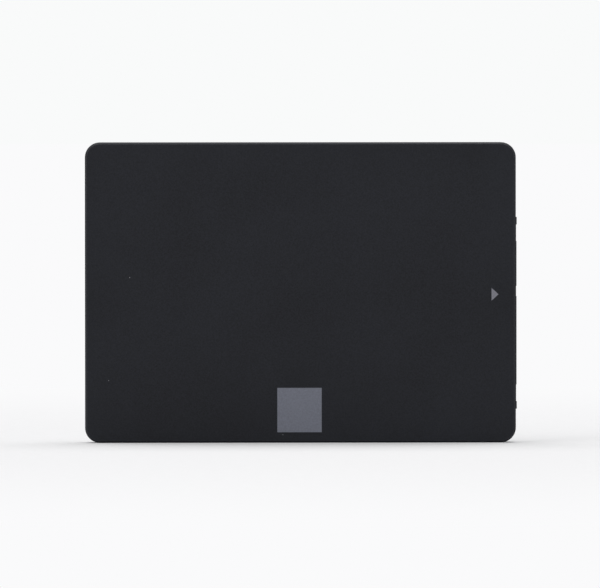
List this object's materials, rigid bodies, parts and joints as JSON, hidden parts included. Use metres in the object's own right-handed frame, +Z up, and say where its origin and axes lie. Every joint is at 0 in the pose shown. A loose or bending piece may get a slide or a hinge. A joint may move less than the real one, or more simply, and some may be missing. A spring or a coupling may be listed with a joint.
{
  "type": "solid state drive",
  "caption": "Slim 2.5-inch solid state drive: two-shell black case with bevelled front cover, threaded mounting holes and a combined SATA data and power plug.",
  "frame": {"origin": "middle of the lower long edge, on the surface that the drive stands on", "axes": "+X along the length to the connector, -Y out of the front cover, +Y out of the mounting face, +Z up across the width"},
  "size_m": [0.1004, 0.0068, 0.0698],
  "materials": {
    "case_black": "bead-blasted, black anodised",
    "ink_grey": "screen-printed ink",
    "label_film": "satin printed film",
    "screw_steel": "black oxide",
    "connector_plastic": "moulded LCP",
    "contact_gold": "gold plated",
    "tinned_steel": "tin plated",
    "board_green": "solder mask on glass epoxy",
    "chip_black": "moulded epoxy",
    "pad_grey": "silicone gap pad",
    "passive_tan": "fired ceramic"
  },
  "bodies": {
    "root": {"base_shell": "case_black", "board_locks": "tinned_steel", "board_screws": "screw_steel", "boot_memory_chip": "chip_black", "bulk_capacitors": "passive_tan", "case_screws": "screw_steel", "ceramic_capacitors": "passive_tan", "chip_resistors": "chip_black", "circuit_board": "board_green", "clock_crystal": "tinned_steel", "connector_housing": "connector_plastic", "controller_chip": "chip_black", "controller_pad": "pad_grey", "dram_chip": "chip_black", "flash_chip_back_1": "chip_black", "flash_chip_back_2": "chip_black", "flash_chip_back_3": "chip_black", "flash_chip_back_4": "chip_black", "flash_chip_front_1": "chip_black", "flash_chip_front_2": "chip_black", "flash_chip_front_3": "chip_black", "flash_chip_front_4": "chip_black", "flash_pad_back": "pad_grey", "flash_pad_front": "pad_grey", "front_cover": "case_black", "input_fuse": "chip_black", "power_chip": "chip_black", "power_contacts": "contact_gold", "power_inductors": "chip_black", "printed_arrow": "ink_grey", "printed_square": "ink_grey", "protection_diode": "chip_black", "rear_label": "label_film", "regulator_chip": "chip_black", "signal_capacitors": "passive_tan", "signal_contacts": "contact_gold", "temperature_sensor": "chip_black"}
  },
  "joints": []
}
